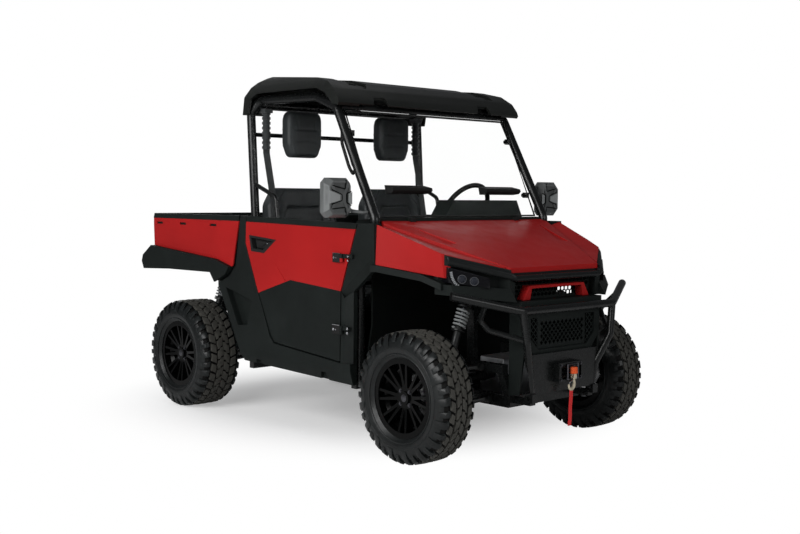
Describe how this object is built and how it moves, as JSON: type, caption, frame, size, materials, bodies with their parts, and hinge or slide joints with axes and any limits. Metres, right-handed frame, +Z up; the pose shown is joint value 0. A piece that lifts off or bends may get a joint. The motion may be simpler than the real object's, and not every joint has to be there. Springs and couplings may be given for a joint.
{
  "type": "side-by-side utility vehicle",
  "caption": "Two-seat electric utility side-by-side with a tilting cargo bed, tailgate, doors, hood, roof, steering linkage and knobby tyres.",
  "frame": {"origin": "on the ground below the middle of the vehicle's box", "axes": "-Y to the front, +X to the vehicle's left side, +Z up"},
  "size_m": [1.828, 2.964, 1.992],
  "materials": {
    "body_red": "gloss red moulded plastic",
    "body_black": "grained black moulded plastic",
    "tyre": "black rubber tread",
    "rim": "satin black alloy",
    "frame_black": "textured black powder coat",
    "running_gear": "black painted steel",
    "shock": "silver springs on black dampers",
    "motor": "cast alloy case",
    "battery": "black case",
    "window": "clear polycarbonate",
    "seat_cover": "black vinyl",
    "webbing": "black woven webbing",
    "lamp": "smoked lens",
    "tail_lamp": "red lens",
    "winch_metal": "black and bright winch parts",
    "hook_metal": "yellow passivated steel hook with an orange rubber stop",
    "strap_red": "red webbing"
  },
  "bodies": {
    "chassis": {"suspension_arms": "running_gear", "shock_absorbers": "shock", "half_shafts": "running_gear", "drive_units": "motor", "chassis_frame": "frame_black", "cab_tub": "body_black", "battery_pack": "battery", "roll_cage": "frame_black", "side_sills": "body_black", "fender_panels": "body_red", "hinge_pillars": "body_black", "front_fascia": "body_black", "grille_mesh": "body_black", "grille_bezel": "body_red", "headlamps": "lamp", "front_bumper": "frame_black", "winch": "winch_metal", "winch_hook": "hook_metal", "pull_strap": "strap_red", "roof": "body_black", "dashboard": "body_black", "windshield": "window", "windshield_vents": "body_black", "seat_cushions": "seat_cover", "seat_backs": "seat_cover", "headrests": "seat_cover", "seat_belts": "webbing", "mirrors": "body_black"},
    "wheel_front_left": {"tyre_front_left": "tyre", "rim_front_left": "rim"},
    "wheel_front_right": {"tyre_front_right": "tyre", "rim_front_right": "rim"},
    "wheel_rear_left": {"tyre_rear_left": "tyre", "rim_rear_left": "rim"},
    "wheel_rear_right": {"tyre_rear_right": "tyre", "rim_rear_right": "rim"},
    "knuckle_left": {"knuckle_left": "running_gear"},
    "knuckle_right": {"knuckle_right": "running_gear"},
    "rack": {"steering_rack": "running_gear"},
    "steering_wheel": {"steering_wheel": "body_black"},
    "door_left": {"door_left": "body_black", "door_skin_left": "body_red"},
    "door_right": {"door_right": "body_black", "door_skin_right": "body_red"},
    "hood": {"hood": "body_red"},
    "bed": {"bed_tub": "body_black", "bed_sides": "body_red", "tail_lamps": "tail_lamp"},
    "tailgate": {"tailgate": "body_black"}
  },
  "joints": [
    {"name": "steering_turn", "type": "hinge", "parent": "chassis", "child": "steering_wheel", "pos_m": [0.36, -0.345, 1.235], "axis": [0, 0.866, 0.5], "range_deg": [-270, 270]},
    {"name": "knuckle_left_steer", "type": "hinge", "parent": "chassis", "child": "knuckle_left", "pos_m": [0.575, -1.0155, 0.33], "axis": [0, 0, 1], "range_deg": [-30, 30]},
    {"name": "knuckle_right_steer", "type": "hinge", "parent": "chassis", "child": "knuckle_right", "pos_m": [-0.575, -1.0155, 0.33], "axis": [0, 0, 1], "range_deg": [-30, 30]},
    {"name": "rack_travel", "type": "slide", "parent": "chassis", "child": "rack", "axis": [1, 0, 0], "range_m": [-0.0562, 0.0562]},
    {"name": "wheel_front_left_spin", "type": "hinge", "parent": "knuckle_left", "child": "wheel_front_left", "pos_m": [0.6785, -1.0155, 0.33], "axis": [1, 0, 0], "continuous": true},
    {"name": "wheel_front_right_spin", "type": "hinge", "parent": "knuckle_right", "child": "wheel_front_right", "pos_m": [-0.6785, -1.0155, 0.33], "axis": [1, 0, 0], "continuous": true},
    {"name": "wheel_rear_left_spin", "type": "hinge", "parent": "chassis", "child": "wheel_rear_left", "pos_m": [0.6535, 1.0155, 0.33], "axis": [1, 0, 0], "continuous": true},
    {"name": "wheel_rear_right_spin", "type": "hinge", "parent": "chassis", "child": "wheel_rear_right", "pos_m": [-0.6535, 1.0155, 0.33], "axis": [1, 0, 0], "continuous": true},
    {"name": "door_left_swing", "type": "hinge", "parent": "chassis", "child": "door_left", "pos_m": [0.757, -0.54, 0.8], "axis": [0, 0, -1], "range_deg": [0, 75]},
    {"name": "door_right_swing", "type": "hinge", "parent": "chassis", "child": "door_right", "pos_m": [-0.757, -0.54, 0.8], "axis": [0, 0, 1], "range_deg": [0, 75]},
    {"name": "hood_lift", "type": "hinge", "parent": "chassis", "child": "hood", "pos_m": [0, -0.7, 1.196], "axis": [-1, 0, 0], "range_deg": [0, 50]},
    {"name": "bed_tilt", "type": "hinge", "parent": "chassis", "child": "bed", "pos_m": [0, 1.2, 0.8], "axis": [-1, 0, 0], "range_deg": [0, 42]},
    {"name": "tailgate_drop", "type": "hinge", "parent": "bed", "child": "tailgate", "pos_m": [0, 1.364, 0.912], "axis": [-1, 0, 0], "range_deg": [0, 90]}
  ],
  "couplings": [
    {"joint": "knuckle_left_steer", "follows": "steering_turn", "ratio": 0.111},
    {"joint": "knuckle_right_steer", "follows": "steering_turn", "ratio": 0.111},
    {"joint": "rack_travel", "follows": "steering_turn", "m_per_rad": -0.0119}
  ]
}
